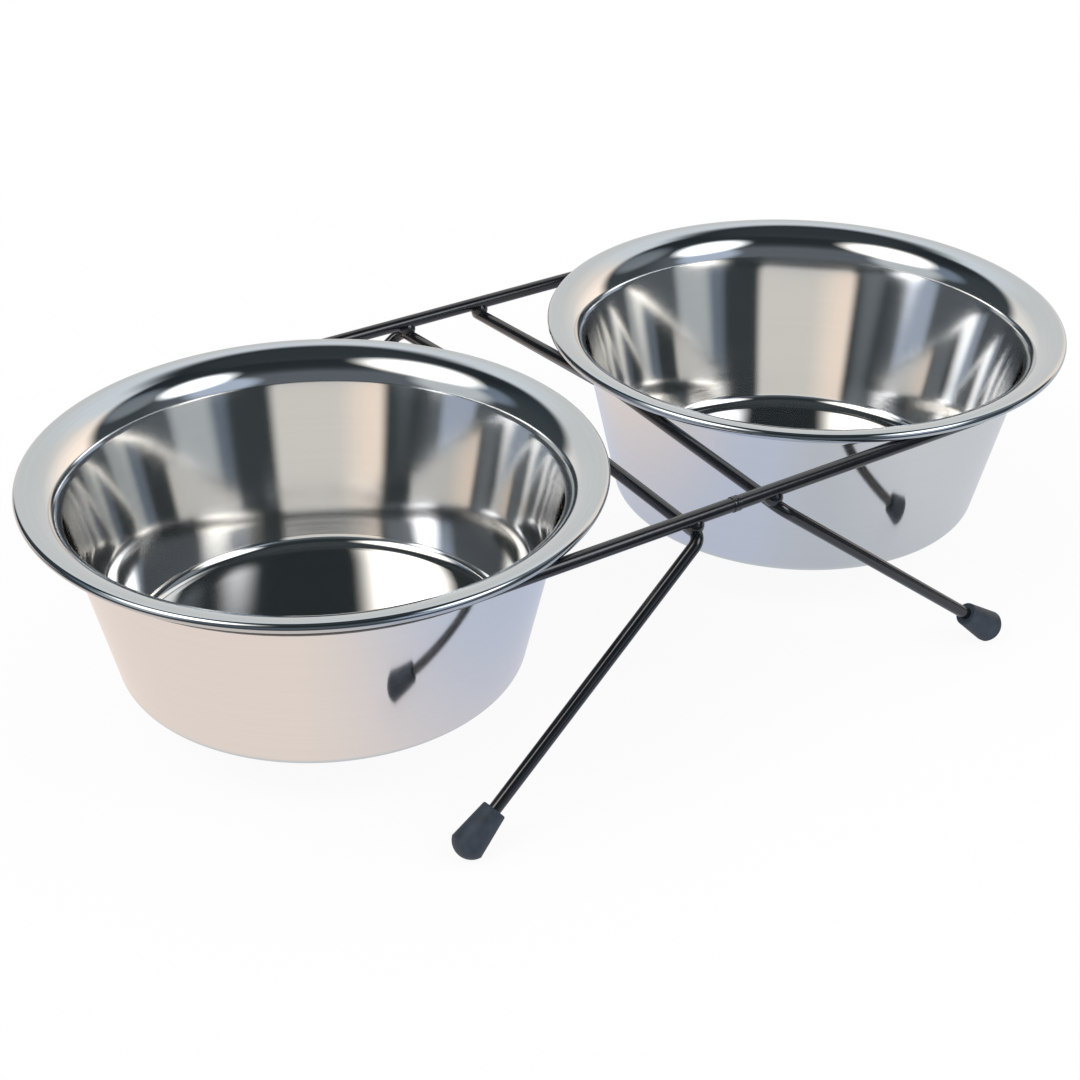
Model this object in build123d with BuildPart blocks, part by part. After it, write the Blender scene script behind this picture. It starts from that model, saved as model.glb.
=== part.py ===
# Double pet bowl: two drawn steel bowls hung by their rims in a welded wire stand.
# Millimetres. +X runs along the two bowls, +Y to the back, +Z up, floor at zero.
import os
from math import cos, radians, sin, sqrt

from build123d import *

# Bowl: one sheet, drawn to a cup, with its edge rolled outwards into a bead
rim_diameter = 160.0
bowl_height = 59.4
sheet = 0.7
bead_diameter = 2.8
curl_angle = 270.0
lip_upper_radius = 11.0
lip_lower_radius = 11.75
lip_break_angle = 45.0
wall_lean = 12.8
cove_radius = 4.0

# Stand: the rims hang in a wire loop, and two bent wires carry the loop
rim_gap = 13.5
rim_top_height = 74.8
loop_diameter = 4.0
leg_diameter = 3.6
loop_inset = 6.8
knee_overhang = 3.3
knee_bend_radius = 4.0
crown_bend_radius = 150.0
foot_reach_x = 91.5
foot_reach_y = 84.6

# Fits between the pieces
seat_gap = 0.2
wire_gap = 0.2
weld_gap = 0.05
bore_clearance = 0.05

# Welds: a lump in each crossing and a collar where the loop's ends meet
weld_lump_radius = 2.75
collar_height = 0.15
collar_length = 2.4

# Rubber foot: a tapered cap pushed on to the end of each leg
foot_length = 15.0
foot_top_radius = 3.4
foot_base_radius = 4.75
foot_dome_radius = 5.2
foot_edge_radius = 0.5
foot_flat_depth = 0.6
foot_end_wall = 4.0

# Places that follow from the sizes
bead_radius = bead_diameter / 2
bead_ring_radius = rim_diameter / 2 - bead_radius
bead_height = rim_top_height - bead_radius
wall_angle = 90 - wall_lean
lip_drop = lip_upper_radius * (1 - cos(radians(lip_break_angle)))
shoulder_drop = lip_lower_radius * (cos(radians(lip_break_angle)) - cos(radians(wall_angle)))
cove_drop = cove_radius * (1 - cos(radians(wall_angle)))
wall_drop = bowl_height - sheet - lip_drop - shoulder_drop - cove_drop
wall_length = wall_drop / sin(radians(wall_angle))
loop_radius = loop_diameter / 2
leg_radius = leg_diameter / 2
support_radius = rim_diameter / 2 - loop_inset
bowl_x = (rim_diameter + rim_gap) / 2
bar_x = bowl_x - support_radius
knee_y = support_radius + knee_overhang


def seat_height(wire_radius):
    """Centre height of a wire that runs at the support radius, just under the lip and the bead."""
    reach = lip_upper_radius - sheet - wire_radius - seat_gap
    run = bead_ring_radius - support_radius
    under_lip = rim_top_height - lip_upper_radius + sqrt(reach**2 - run**2)
    under_bead = bead_height - bead_radius - wire_radius - seat_gap
    return min(under_lip, under_bead)


loop_height = seat_height(loop_radius)
crown_height = seat_height(leg_radius)
crossing_height = loop_height - loop_radius - wire_gap - leg_radius
bar_fall = (crown_height - crossing_height) / support_radius
knee_height = crown_height - bar_fall * knee_y
dome_height = foot_dome_radius - foot_flat_depth
bore_end = foot_end_wall - foot_dome_radius
base_start = -sqrt(foot_dome_radius**2 - foot_base_radius**2)
foot_top = foot_length - foot_dome_radius


def draw_sheet_face(inset):
    """One face of the bowl's sheet, rolled edge to middle of the floor; gives back its two ends."""
    edge = (bead_ring_radius - bead_radius + inset, bead_height)
    curl = JernArc(edge, (0, -1), bead_radius - inset, curl_angle)
    lip = JernArc(curl @ 1, curl % 1, lip_upper_radius - inset, lip_break_angle)
    shoulder = JernArc(lip @ 1, lip % 1, lip_lower_radius - inset, wall_angle - lip_break_angle)
    wall = Line(shoulder @ 1, shoulder @ 1 + (shoulder % 1) * wall_length)
    cove = JernArc(wall @ 1, wall % 1, cove_radius + inset, -wall_angle)
    floor = Line(cove @ 1, (0, (cove @ 1).Y))
    return curl @ 0, floor @ 1


def leg_axis(side, end):
    """Plane at the centre of a foot's dome, with its normal up the leg."""
    dome = Vector(side * foot_reach_x, end * foot_reach_y, dome_height)
    knee = Vector(side * bar_x, end * knee_y, knee_height)
    return Plane(origin=dome, x_dir=(0, end, 0), z_dir=knee - dome)


def leg_wire(side, radius):
    """Foot to foot: up the front leg, over the arched bar under both rails, down the rear leg."""
    front, rear = [leg_axis(side, end).offset(bore_end).origin for end in (-1, 1)]
    front_knee = (side * bar_x, -knee_y, knee_height)
    crown = (side * bar_x, 0, crown_height)
    rear_knee = (side * bar_x, knee_y, knee_height)
    bends = (knee_bend_radius, crown_bend_radius, knee_bend_radius)
    with BuildPart() as wire:
        with BuildLine() as path:
            run = FilletPolyline(front, front_knee, crown, rear_knee, rear, radius=bends)
        with BuildSketch(Plane(origin=run @ 0, z_dir=run % 0)):
            Circle(radius)
        sweep(path=path.line)
    return wire.part


def loop_wire(radius):
    """Two straight rails and two round ends, bent from the middle of the front rail round to it."""
    with BuildPart() as wire:
        with BuildLine(Plane.XY.offset(loop_height)) as path:
            start = Line((0, -support_radius), (bowl_x, -support_radius))
            right_end = JernArc(start @ 1, start % 1, support_radius, 180)
            rear = Line(right_end @ 1, (-bowl_x, support_radius))
            left_end = JernArc(rear @ 1, rear % 1, support_radius, 180)
            Line(left_end @ 1, start @ 0)
        with BuildSketch(Plane(origin=start @ 0, z_dir=start % 0)):
            Circle(radius)
        sweep(path=path.line)
    return wire.part


def save(part, label):
    """Name a finished piece and write it out."""
    part.label = label
    export_step(part, f"parts/{label}.step")


os.makedirs("parts", exist_ok=True)

# Bowls: both faces of the sheet, closed at the rolled edge and on the axis, turned to a cup
for side, label in ((-1, "left_bowl"), (1, "right_bowl")):
    axis = Axis((side * bowl_x, 0, 0), (0, 0, 1))
    with BuildPart() as bowl:
        with BuildSketch(Plane(origin=axis.position, x_dir=(1, 0, 0), z_dir=(0, -1, 0))):
            with BuildLine():
                upper_edge, upper_middle = draw_sheet_face(0)
                lower_edge, lower_middle = draw_sheet_face(sheet)
                Line(upper_edge, lower_edge)
                Line(upper_middle, lower_middle)
            make_face()
        revolve(axis=axis)
    save(bowl.part, label)

# Wire frame: the loop above, the two leg wires passing under its rails
save(loop_wire(loop_radius), "support_loop")
save(leg_wire(-1, leg_radius), "left_leg_wire")
save(leg_wire(1, leg_radius), "right_leg_wire")

# Welds: lumps that fill the four crossings, and the collar round the loop's butt joint
crossings = [
    (side * bar_x, end * support_radius, loop_height - loop_radius - wire_gap / 2)
    for side in (-1, 1)
    for end in (-1, 1)
]
with BuildPart() as frame_welds:
    with Locations(*crossings):
        Sphere(weld_lump_radius)
    for side in (-1, 1):
        add(leg_wire(side, leg_radius + weld_gap), mode=Mode.SUBTRACT)
    with BuildSketch(Plane.YZ):
        with Locations((-support_radius, loop_height)):
            Circle(loop_radius + weld_gap + collar_height)
    extrude(amount=collar_length / 2, both=True)
    fillet(frame_welds.edges().filter_by(GeomType.CIRCLE).filter_by(Plane.YZ), radius=collar_height)
    add(loop_wire(loop_radius + weld_gap), mode=Mode.SUBTRACT)
save(frame_welds.part, "frame_welds")

# Feet: a turned section about the leg, bored for the wire and worn flat where it stands
for side, side_name in ((-1, "left"), (1, "right")):
    for end, end_name in ((-1, "front"), (1, "rear")):
        leg = leg_axis(side, end)
        with BuildPart() as foot:
            with BuildSketch(Plane(origin=leg.origin, x_dir=leg.x_dir, z_dir=-leg.y_dir)):
                with BuildLine():
                    tip = (0, -foot_dome_radius)
                    RadiusArc(tip, (foot_base_radius, base_start), -foot_dome_radius)
                    Polyline((foot_base_radius, base_start), (foot_top_radius, foot_top), (0, foot_top), tip)
                make_face()
            revolve(axis=Axis(leg.origin, leg.z_dir))
            rim = foot.edges().filter_by(GeomType.CIRCLE).sort_by(Axis(leg.origin, leg.z_dir))[-1]
            fillet(rim, radius=foot_edge_radius)
            with BuildSketch(leg.offset(bore_end)):
                Circle(leg_radius + bore_clearance)
            extrude(amount=foot_length, mode=Mode.SUBTRACT)
            split(bisect_by=Plane.XY, keep=Keep.TOP)
        save(foot.part, f"{end_name}_{side_name}_foot")
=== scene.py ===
from math import cos, pi, radians, sin, tan

import bpy
from mathutils import Matrix, Vector


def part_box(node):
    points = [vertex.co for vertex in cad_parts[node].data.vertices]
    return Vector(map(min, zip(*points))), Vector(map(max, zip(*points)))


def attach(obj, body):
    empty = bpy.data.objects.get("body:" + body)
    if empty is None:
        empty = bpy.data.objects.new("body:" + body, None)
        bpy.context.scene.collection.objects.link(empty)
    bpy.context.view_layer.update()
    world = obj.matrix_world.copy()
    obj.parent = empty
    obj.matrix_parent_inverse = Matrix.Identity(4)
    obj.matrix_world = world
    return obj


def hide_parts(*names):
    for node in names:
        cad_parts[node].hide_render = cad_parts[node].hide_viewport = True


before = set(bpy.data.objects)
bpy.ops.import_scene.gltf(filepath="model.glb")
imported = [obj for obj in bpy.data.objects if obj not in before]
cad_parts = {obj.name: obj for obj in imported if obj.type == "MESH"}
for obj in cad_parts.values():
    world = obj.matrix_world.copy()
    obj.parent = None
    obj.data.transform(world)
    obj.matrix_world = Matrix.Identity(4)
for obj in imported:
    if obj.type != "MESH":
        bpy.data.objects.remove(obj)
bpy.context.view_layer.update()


# Wire of the stand: the support loop and the two leg wires, drawn steel wire bent cold.
# All of it is dipped in glossy black enamel, which flows smooth with a faint orange peel.
mottle_range = (0.3, 0.7)
enamel_dark = (0.005, 0.006, 0.008)
enamel_light = (0.009, 0.010, 0.013)
enamel_shine = 0.75
enamel_patches_per_metre = 120
peel_strength = 0.35
wire_peel_size = 0.0022
wire_peel_depth = 0.00006
wire_roughness = (0.10, 0.16)


class Palette:
    """Sets out the nodes of one material, lamp or room."""

    def __init__(self, tree):
        self.tree = tree

    def fill(self, node, inputs):
        """Give a node's inputs their fixed values, or the outputs of other nodes."""
        for name, value in inputs.items():
            socket = node.inputs[name]
            if isinstance(value, bpy.types.NodeSocket):
                self.tree.links.new(value, socket)
            elif socket.type == "RGBA":
                socket.default_value = (*value, 1)
            else:
                socket.default_value = value

    def add(self, kind, inputs, **settings):
        """A new node with its settings and inputs."""
        node = self.tree.nodes.new(kind)
        for name, value in settings.items():
            setattr(node, name, value)
        self.fill(node, inputs)
        return node


def start_finish(name):
    """A new material, with its shader and its palette."""
    finish = bpy.data.materials.new(name)
    finish.use_nodes = True
    shader = finish.node_tree.nodes["Principled BSDF"]
    return finish, shader, Palette(finish.node_tree)


def object_place(palette, centre=(0, 0, 0)):
    """Object coordinates with their zero moved to a point of the piece."""
    place = palette.add("ShaderNodeTexCoord", {}).outputs["Object"]
    shift = [-value for value in centre]
    return palette.add("ShaderNodeMapping", {"Vector": place, "Location": shift}).outputs["Vector"]


def mottle(palette, place, scale, detail=3.0):
    """Soft cloudy variation between 0 and 1."""
    noise = palette.add("ShaderNodeTexNoise", {"Vector": place, "Scale": scale, "Detail": detail})
    return noise.outputs["Fac"]


def shade_between(palette, amount, dark, light):
    """A colour that wanders between two shades."""
    ramp = palette.add("ShaderNodeValToRGB", {"Fac": amount})
    for stop, position, shade in zip(ramp.color_ramp.elements, mottle_range, (dark, light)):
        stop.position = position
        stop.color = (*shade, 1)
    return ramp.outputs["Color"]


def value_between(palette, amount, low, high):
    """A number that wanders between two values."""
    start, end = mottle_range
    spread = palette.add("ShaderNodeMapRange", {
        "Value": amount, "From Min": start, "From Max": end, "To Min": low, "To Max": high})
    return spread.outputs["Result"]


def relief(palette, height, depth, strength):
    """Small relief in the surface."""
    bump = palette.add("ShaderNodeBump", {"Height": height, "Distance": depth, "Strength": strength})
    return bump.outputs["Normal"]


def black_enamel(name, peel_size, peel_depth, roughness):
    """Black gloss that is a little uneven, with an orange peel of a given size and depth."""
    finish, shader, palette = start_finish(name)
    place = object_place(palette)
    tone = mottle(palette, place, enamel_patches_per_metre)
    peel = mottle(palette, place, 1 / peel_size, detail=1)
    palette.fill(shader, {
        "Base Color": shade_between(palette, tone, enamel_dark, enamel_light),
        "Roughness": value_between(palette, tone, *roughness),
        "Specular IOR Level": enamel_shine,
        "Normal": relief(palette, peel, peel_depth, peel_strength)})
    return finish


def dress(node, finish):
    """Give a CAD node its finish."""
    bpy.data.objects[node].material_slots[0].material = finish


wire_enamel = black_enamel("wire_enamel", wire_peel_size, wire_peel_depth, wire_roughness)
for wire in ("support_loop", "left_leg_wire", "right_leg_wire"):
    dress(wire, wire_enamel)


# Welds of the stand: a lump in each crossing and a collar where the loop's ends meet.
# They are melted from the same steel, and the same enamel lies glossy and lumpy on them.
weld_peel_size = 0.0011
weld_peel_depth = 0.0004
weld_roughness = (0.05, 0.10)
dress("frame_welds", black_enamel("weld_enamel", weld_peel_size, weld_peel_depth, weld_roughness))


# Feet: moulded rubber caps pushed on to the ends of the legs.
# The rubber is dark slate grey and matt, with a dusty bloom.
rubber_dark = (0.021, 0.031, 0.047)
rubber_light = (0.040, 0.054, 0.076)
rubber_roughness = (0.52, 0.66)
bloom_patches_per_metre = 260
grains_per_metre = 1800
grain_depth = 0.0001
grain_strength = 0.3


def slate_rubber():
    """Matt rubber with a bloom and a fine grain."""
    finish, shader, palette = start_finish("slate_rubber")
    place = object_place(palette)
    bloom = mottle(palette, place, bloom_patches_per_metre)
    grain = mottle(palette, place, grains_per_metre, detail=2)
    palette.fill(shader, {
        "Base Color": shade_between(palette, bloom, rubber_dark, rubber_light),
        "Roughness": value_between(palette, bloom, *rubber_roughness),
        "Normal": relief(palette, grain, grain_depth, grain_strength)})
    return finish


rubber = slate_rubber()
for foot in ("front_left_foot", "front_right_foot", "rear_left_foot", "rear_right_foot"):
    dress(foot, rubber)


# Bowls: stainless sheet drawn deep in one hit, its edge rolled outwards into a bead.
# They are polished on a lathe, so the finest marks run round the axis and smear a
# reflection up and down the wall. Each hangs loose in the support loop by its lip.
bowl_low, bowl_high = (Vector(corner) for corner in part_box("left_bowl"))
bowl_x = (bowl_low.x + bowl_high.x) / 2
rim_radius = (bowl_high.x - bowl_low.x) / 2
rim_top = bowl_high.z
sheet = 0.0007
bead_radius = 0.0014
curl_angle = radians(270)
lip_radius = 0.011
lip_angle = radians(45)
shoulder_radius = 0.01175
wall_angle = radians(90 - 12.8)
cove_radius = 0.004

curl_steps = 40
lip_steps = 16
shoulder_steps = 12
wall_steps = 10
cove_steps = 14
floor_steps = 12
turn_steps = 288
join_distance = 0.000002
crease_angle = radians(40)

inside_wall_shade = (0.79, 0.785, 0.775)
# The inside lip's shade is darker and bluer than the wall's: painted shade that dims and cools the lip's
# reflection.
inside_lip_painted_shade = (0.55, 0.585, 0.615)
outside_shade = (0.71, 0.705, 0.70)
wall_streak = 0.006
lip_streak = 0.015
inside_wall_roughness = 0.07
inside_lip_roughness = 0.08
outside_roughness = 0.08
inside_smear = 0.7
outside_smear = 0.3
smear_turn = 0.25
mark_pitch = 0.0009
mark_wear = (0.9, 1.1)
mark_fades_per_metre = 30
waves_per_metre = 28
wave_depth = 0.0003
wave_strength = 0.2

bead_ring = rim_radius - bead_radius
lip_start = bead_ring - lip_radius * sin(lip_angle)
lip_blend = 0.002
wall_drop = rim_top - bowl_low.z - sheet
wall_drop -= lip_radius * (1 - cos(lip_angle))
wall_drop -= shoulder_radius * (cos(lip_angle) - cos(wall_angle))
wall_drop -= cove_radius * (1 - cos(wall_angle))
wall_run = wall_drop / tan(wall_angle)


def roll(centre_radius, centre_height, angle, steps):
    """Carry the end of the profile round an arc, over the lip for a positive angle."""
    bpy.ops.mesh.spin(
        steps=steps, angle=abs(angle), center=(bowl_x + centre_radius, 0, centre_height),
        axis=(0, 1 if angle > 0 else -1, 0))


def run(across, down, steps):
    """Carry the end of the profile straight on, in steps that keep the shading true."""
    move = {"value": (-across / steps, 0, -down / steps)}
    for step in range(steps):
        bpy.ops.mesh.extrude_region_move(TRANSFORM_OT_translate=move)


def press_bowl(name):
    """The upper face of the sheet, from the rolled edge to the floor, turned and given its thickness."""
    bpy.ops.object.select_all(action="DESELECT")
    edge = (bowl_x + bead_ring - bead_radius, 0, rim_top - bead_radius)
    bpy.ops.mesh.primitive_plane_add(size=bead_radius, location=edge)
    bowl = bpy.context.object
    bowl.name = name
    bpy.ops.object.transform_apply(location=True)
    bpy.ops.object.mode_set(mode="EDIT")
    bpy.ops.mesh.merge(type="CENTER")
    roll(bead_ring, rim_top - bead_radius, curl_angle, curl_steps)
    lip_height = rim_top - lip_radius
    roll(bead_ring, lip_height, lip_angle, lip_steps)
    spread = shoulder_radius - lip_radius
    shoulder_centre = bead_ring + spread * sin(lip_angle)
    shoulder_height = lip_height - spread * cos(lip_angle)
    roll(shoulder_centre, shoulder_height, wall_angle - lip_angle, shoulder_steps)
    run(wall_run, wall_drop, wall_steps)
    wall_foot = shoulder_centre - shoulder_radius * sin(wall_angle) - wall_run
    floor_radius = wall_foot - cove_radius * sin(wall_angle)
    roll(floor_radius, bowl_low.z + sheet + cove_radius, -wall_angle, cove_steps)
    run(floor_radius, 0, floor_steps)
    bpy.ops.mesh.select_all(action="SELECT")
    bpy.ops.mesh.spin(
        steps=turn_steps, angle=2 * pi, center=(bowl_x, 0, 0), axis=(0, 0, 1), use_auto_merge=True)
    bpy.ops.mesh.select_all(action="SELECT")
    bpy.ops.mesh.remove_doubles(threshold=join_distance)
    bpy.ops.mesh.normals_make_consistent(inside=False)
    bpy.ops.object.mode_set(mode="OBJECT")
    wall = bowl.modifiers.new("sheet", "SOLIDIFY")
    wall.thickness = sheet
    wall.offset = -1
    wall.use_even_offset = True
    wall.material_offset = 1
    bpy.ops.object.modifier_apply(modifier=wall.name)
    bpy.ops.object.shade_smooth_by_angle(angle=crease_angle)
    return bowl


def ease(palette, value, start, end, low=0.0):
    """A number that goes smoothly from low to 1 while a value goes from start to end."""
    step = palette.add("ShaderNodeMapRange", {
        "Value": value, "From Min": start, "From Max": end, "To Min": low},
        interpolation_type="SMOOTHSTEP")
    return step.outputs["Result"]


def blend(palette, amount, first, second):
    """A colour that goes from the first to the second while an amount goes from 0 to 1."""
    mix = palette.add("ShaderNodeMix", {}, data_type="RGBA")
    palette.fill(mix, {"Factor": amount, "A": first, "B": second})
    return mix.outputs["Result"]


def product(palette, first, second):
    """Two numbers multiplied."""
    return palette.add("ShaderNodeMath", {0: first, 1: second}, operation="MULTIPLY").outputs[0]


def ring_marks(palette, place):
    """Fine marks that follow the lathe round the bowl and fade along their length."""
    parts = palette.add("ShaderNodeSeparateXYZ", {0: place}).outputs
    flat = palette.add("ShaderNodeCombineXYZ", {"X": parts["X"], "Y": parts["Y"]}).outputs[0]
    radius = palette.add("ShaderNodeVectorMath", {0: flat}, operation="LENGTH").outputs["Value"]
    track = palette.add("ShaderNodeCombineXYZ", {"Z": mottle(palette, place, mark_fades_per_metre)})
    for value, socket in ((radius, "X"), (parts["Z"], "Y")):
        scaled = palette.add("ShaderNodeMath", {0: value, 1: mark_pitch}, operation="DIVIDE")
        palette.fill(track, {socket: scaled.outputs[0]})
    return mottle(palette, track.outputs[0], 1.0, detail=2), radius


def streaked(palette, marks, shade, streak):
    """A shade that the lathe marks make a little darker and lighter."""
    dark = [value - streak for value in shade]
    light = [value + streak for value in shade]
    return shade_between(palette, marks, dark, light)


def polished_steel(name, axis_x, wall_shade, lip_shade, wall_roughness, lip_roughness, smear):
    """Mirror polish with its marks round the axis, in one shade on the wall and one on the lip; a darker lip
    shade is painted shade.
    """
    finish, shader, palette = start_finish(name)
    place = object_place(palette, (axis_x, 0, 0))
    marks, radius = ring_marks(palette, place)
    on_lip = ease(palette, radius, lip_start - lip_blend, lip_start + lip_blend)
    wall_colour = streaked(palette, marks, wall_shade, wall_streak)
    lip_colour = streaked(palette, marks, lip_shade, lip_streak)
    roughness = palette.add("ShaderNodeMapRange", {
        "Value": on_lip, "To Min": wall_roughness, "To Max": lip_roughness}).outputs["Result"]
    round_axis = palette.add("ShaderNodeVectorMath", {0: (0, 0, 1), 1: place}, operation="CROSS_PRODUCT")
    along = palette.add("ShaderNodeVectorMath", {0: round_axis.outputs[0]}, operation="NORMALIZE")
    wave = mottle(palette, place, waves_per_metre, detail=0)
    palette.fill(shader, {
        "Metallic": 1,
        "Base Color": blend(palette, on_lip, wall_colour, lip_colour),
        "Roughness": product(palette, roughness, value_between(palette, marks, *mark_wear)),
        "Anisotropic": smear,
        "Anisotropic Rotation": smear_turn,
        "Tangent": along.outputs[0],
        "Normal": relief(palette, wave, wave_depth, wave_strength)})
    return finish


left_bowl = press_bowl("left_bowl_pressing")
bpy.ops.object.duplicate()
right_bowl = bpy.context.object
right_bowl.name = "right_bowl_pressing"
bpy.ops.transform.translate(value=(-2 * bowl_x, 0, 0))
bpy.ops.object.transform_apply(location=True)
for bowl, node, axis_x in ((left_bowl, "left_bowl", bowl_x), (right_bowl, "right_bowl", -bowl_x)):
    # The inside lip gets a painted shade, darker and bluer than its wall; the outside keeps one shade.
    bowl.data.materials.append(polished_steel(
        node + "_inside", axis_x, inside_wall_shade, inside_lip_painted_shade,
        inside_wall_roughness, inside_lip_roughness, inside_smear))
    bowl.data.materials.append(polished_steel(
        node + "_outside", axis_x, outside_shade, outside_shade,
        outside_roughness, outside_roughness, outside_smear))
    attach(bowl, node)
    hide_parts(node)


# Camera: where the photograph was taken from, above the left front corner of the stand.
# Its place, its turn and its lens, a little longer than normal, were fitted to the photograph.
camera_place = Vector((-0.3154, -0.43873, 0.34445))
camera_azimuth = radians(-34.621)
camera_elevation = radians(30.823)
camera_roll = radians(0.4916)
camera_sensor = 36
camera_lens = 69.0454
camera_clip = 0.01
level_right = Vector((cos(camera_azimuth), sin(camera_azimuth), 0))
towards_camera = Vector((sin(camera_azimuth), -cos(camera_azimuth), 0))
back = towards_camera * cos(camera_elevation) + Vector((0, 0, sin(camera_elevation)))
level_up = back.cross(level_right)
right = cos(camera_roll) * level_right + sin(camera_roll) * level_up
up = cos(camera_roll) * level_up - sin(camera_roll) * level_right
camera_data = bpy.data.cameras.new("camera")
camera_data.sensor_width = camera_sensor
camera_data.lens = camera_lens
camera_data.clip_start = camera_clip
camera = bpy.data.objects.new("camera", camera_data)
camera.matrix_world = Matrix.Translation(camera_place) @ Matrix((right, up, back)).transposed().to_4x4()
bpy.context.collection.objects.link(camera)
bpy.context.scene.camera = camera


# Floor of the studio: one large white sheet that the feet stand on. It takes a soft shadow
# of the bowls and looks white. The steel mirrors the tints that the lights throw on it, the
# shade under the bowls and, on the camera's side, its front edge with the dark room beyond.
white_sheet_size = 8
white_sheet_depth = 0.0002
white_sheet_shade = (0.9, 0.9, 0.9)
plain_white = (1, 1, 1)
white_near_bowls = 0.92
shadow_span = (0.15, 0.45)
spill_span = (-0.08, 0.16)
spill_left = (0.91, 0.80, 0.735)
spill_right = (0.66, 0.69, 0.73)
spill_between = ((0.46, (0.57, 0.63, 0.78)), (0.66, (0.54, 0.58, 0.65)))
under_bowl_span = (0.066, 0.048)
under_bowl_shade = (0.60, 0.64, 0.68)
front_edge_span = (0.07, 0.17)
front_side_span = (-0.05, 0.03)
front_shade = (0.06, 0.07, 0.08)


def measure(palette, vector, way):
    """How far a vector goes along a way."""
    return palette.add("ShaderNodeVectorMath", {0: vector, 1: way}, operation="DOT_PRODUCT").outputs["Value"]


def mirrored_floor(palette, place):
    """The colour of the floor for the steel that mirrors it."""
    start, end = spill_span
    tint = palette.add("ShaderNodeMapRange", {
        "Value": measure(palette, place, level_right), "From Min": start, "From Max": end})
    spill = palette.add("ShaderNodeValToRGB", {"Fac": tint.outputs["Result"]})
    spill.color_ramp.interpolation = "EASE"
    stops = spill.color_ramp.elements
    stops[0].color = (*spill_left, 1)
    stops[1].color = (*spill_right, 1)
    for position, colour in spill_between:
        stops.new(position).color = (*colour, 1)

    apart = palette.add("ShaderNodeVectorMath", {0: place}, operation="ABSOLUTE").outputs[0]
    axis_place = (abs(bowl_x), 0, 0)
    from_axis = palette.add("ShaderNodeVectorMath", {0: apart, 1: axis_place}, operation="DISTANCE")
    under_bowl = ease(palette, from_axis.outputs["Value"], *under_bowl_span)
    near = blend(palette, under_bowl, spill.outputs["Color"], under_bowl_shade)

    outline = (2 * rim_radius, rim_radius, 0)
    beyond = palette.add("ShaderNodeVectorMath", {0: apart, 1: outline}, operation="SUBTRACT").outputs[0]
    clear = palette.add("ShaderNodeVectorMath", {0: beyond, 1: (0, 0, 0)}, operation="MAXIMUM").outputs[0]
    far = palette.add("ShaderNodeVectorMath", {0: clear}, operation="LENGTH").outputs["Value"]
    in_front = ease(palette, measure(palette, place, towards_camera), *front_side_span)
    past_edge = product(palette, ease(palette, far, *front_edge_span), in_front)
    return blend(palette, past_edge, near, front_shade)


def white_sheet():
    """White paper, shown mostly as plain white to the eye and with its tints to the steel."""
    finish, shader, palette = start_finish("white_sheet")
    palette.fill(shader, {"Base Color": white_sheet_shade, "Roughness": 1, "Specular IOR Level": 0})
    place = object_place(palette)
    rays = palette.add("ShaderNodeLightPath", {}).outputs
    colour = blend(palette, rays["Is Camera Ray"], mirrored_floor(palette, place), plain_white)
    glow = palette.add("ShaderNodeEmission", {"Color": colour})
    looked_at = rays["Is Camera Ray"]
    for ray in ("Is Glossy Ray", "Is Transmission Ray"):
        either = palette.add("ShaderNodeMath", {0: looked_at, 1: rays[ray]}, operation="MAXIMUM")
        looked_at = either.outputs[0]
    out = palette.add("ShaderNodeVectorMath", {0: place}, operation="LENGTH").outputs["Value"]
    share = product(palette, looked_at, ease(palette, out, *shadow_span, low=white_near_bowls))
    mix = palette.add("ShaderNodeMixShader", {"Fac": share, 1: shader.outputs[0], 2: glow.outputs[0]})
    palette.fill(finish.node_tree.nodes["Material Output"], {"Surface": mix.outputs[0]})
    return finish


bpy.ops.mesh.primitive_plane_add(size=white_sheet_size, location=(0, 0, -white_sheet_depth))
floor = bpy.context.object
floor.name = "floor_sheet"
bpy.ops.object.transform_apply(location=True)
floor.data.materials.append(white_sheet())


# Lights: two large soft boxes left and right of the camera, the left one a little warm
# and the right one a little cool. Their cloth fades out towards its edges.
left_tint = (1.0, 0.965, 0.915)
right_tint = (0.935, 0.965, 1.0)
cloth_middle = (0.5, 0.5, 0)
cloth_fade = (0.56, 0.12)
energy_per_area = 4


def way_to(bearing, elevation):
    """Direction from the object in degrees: to the right of the camera, and up from the floor."""
    level = cos(radians(bearing)) * towards_camera + sin(radians(bearing)) * level_right
    return level * cos(radians(elevation)) + Vector((0, 0, sin(radians(elevation))))


def soft_box(name, way, distance, width, height, radiance, tint):
    """A lamp behind cloth that faces the object, brightest in its middle."""
    lamp_data = bpy.data.lights.new(name, "AREA")
    lamp_data.shape = "RECTANGLE"
    lamp_data.size = width
    lamp_data.size_y = height
    lamp_data.energy = energy_per_area * width * height * radiance
    lamp_data.color = tint
    lamp_data.use_nodes = True
    palette = Palette(lamp_data.node_tree)
    cloth = palette.add("ShaderNodeNewGeometry", {}).outputs["Parametric"]
    out = palette.add("ShaderNodeVectorMath", {0: cloth, 1: cloth_middle}, operation="DISTANCE")
    bright = ease(palette, out.outputs["Value"], *cloth_fade)
    palette.fill(lamp_data.node_tree.nodes["Emission"], {"Strength": bright})
    lamp = bpy.data.objects.new(name, lamp_data)
    turn = way.to_track_quat("Z", "Y").to_matrix().to_4x4()
    lamp.matrix_world = Matrix.Translation(way * distance) @ turn
    lamp.visible_camera = False
    bpy.context.collection.objects.link(lamp)


soft_box(
    "left_soft_box", way_to(-60, 50), distance=1.5, width=1.26, height=1.25, radiance=3.2, tint=left_tint)
soft_box(
    "right_soft_box", way_to(62, 43), distance=1.04, width=0.66, height=0.70, radiance=3.0, tint=right_tint)


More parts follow.
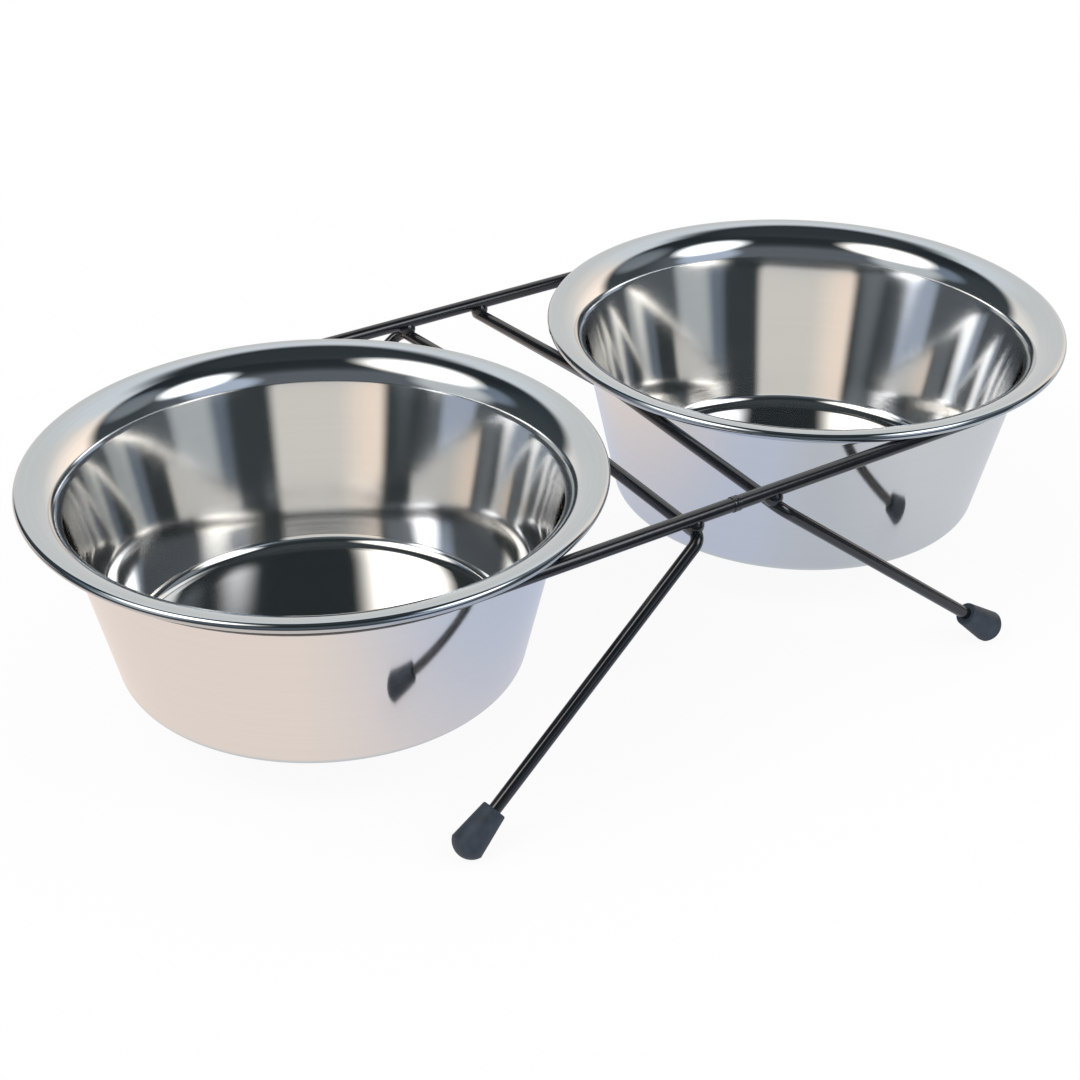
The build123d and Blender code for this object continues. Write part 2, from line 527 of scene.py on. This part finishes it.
# Room: a white paper sweep behind the bowls, turned a little to the right, in a dark room.
# On the camera's side are a dim wall and, low beside the camera, the spill of the two soft
# boxes. Diffuse light gets an even fill in place of all this, and the eye sees plain white.
upper_room = (0.026, 0.034, 0.038)
lower_room = (0.05, 0.062, 0.07)
lower_room_top = (52, 36)
camera_wall = (0.12, 0.14, 0.16)
camera_wall_sides = (-0.1, 0.5)
camera_wall_top = (42, 27)
ceiling = (0.05, 0.06, 0.065)
ceiling_edge = (62, 75)
room_spills = (
    (way_to(-84, 30), 18, 7, (0.19, 0.24, 0.31)),
    (way_to(101, 36), 18, 7, (0.22, 0.25, 0.28)),
    (way_to(-62, 18), 24, 11, (0.56, 0.61, 0.64)),
    (way_to(48, 16), 21, 10, (0.47, 0.55, 0.69)))
sweep_middle = way_to(172, 0)
sweep_sides = (57, 45)
sweep_top = (66, 52)
paper_left = (0.92, 0.90, 0.86)
paper_right = (1.27, 1.10, 0.96)
paper_top = (1.0, 1.03, 1.05)
paper_turn = (0.2, 0.78)
paper_rise = (30, 50)
even_fill = (0.7, 0.71, 0.72)
mirror_bounces = 10


def between_heights(palette, height, start, end):
    """0 to 1 while the elevation goes from start to end, in degrees."""
    return ease(palette, height, sin(radians(start)), sin(radians(end)))


def round_way(palette, way, middle, outer, inner):
    """1 within the inner angle of a middle direction and 0 outside the outer one, in degrees."""
    return ease(palette, measure(palette, way, middle), cos(radians(outer)), cos(radians(inner)))


def studio_room():
    """The light that comes from each direction of the room."""
    world = bpy.data.worlds.new("studio_room")
    bpy.context.scene.world = world
    world.use_nodes = True
    palette = Palette(world.node_tree)
    way = palette.add("ShaderNodeTexCoord", {}).outputs["Generated"]
    height = palette.add("ShaderNodeSeparateXYZ", {0: way}).outputs["Z"]
    flat = palette.add("ShaderNodeVectorMath", {0: way, 1: (1, 1, 0)}, operation="MULTIPLY").outputs[0]
    level = palette.add("ShaderNodeVectorMath", {0: flat}, operation="NORMALIZE").outputs[0]

    room = blend(palette, between_heights(palette, height, *lower_room_top), upper_room, lower_room)
    camera_side = ease(palette, measure(palette, level, towards_camera), *camera_wall_sides)
    low_down = between_heights(palette, height, *camera_wall_top)
    room = blend(palette, product(palette, camera_side, low_down), room, camera_wall)
    room = blend(palette, between_heights(palette, height, *ceiling_edge), room, ceiling)
    for middle, outer, inner, spill in room_spills:
        room = blend(palette, round_way(palette, way, middle, outer, inner), room, spill)

    right_side = ease(palette, measure(palette, level, level_right), *paper_turn)
    low_paper = blend(palette, right_side, paper_left, paper_right)
    paper = blend(palette, between_heights(palette, height, *paper_rise), low_paper, paper_top)
    sweep_width = round_way(palette, level, sweep_middle, *sweep_sides)
    sweep_height = between_heights(palette, height, *sweep_top)
    room = blend(palette, product(palette, sweep_width, sweep_height), room, paper)

    rays = palette.add("ShaderNodeLightPath", {}).outputs
    lit = blend(palette, rays["Is Diffuse Ray"], room, even_fill)
    seen = blend(palette, rays["Is Camera Ray"], lit, plain_white)
    palette.fill(world.node_tree.nodes["Background"], {"Color": seen})


studio_room()
bpy.context.scene.view_settings.view_transform = "Standard"
bpy.context.scene.cycles.glossy_bounces = mirror_bounces
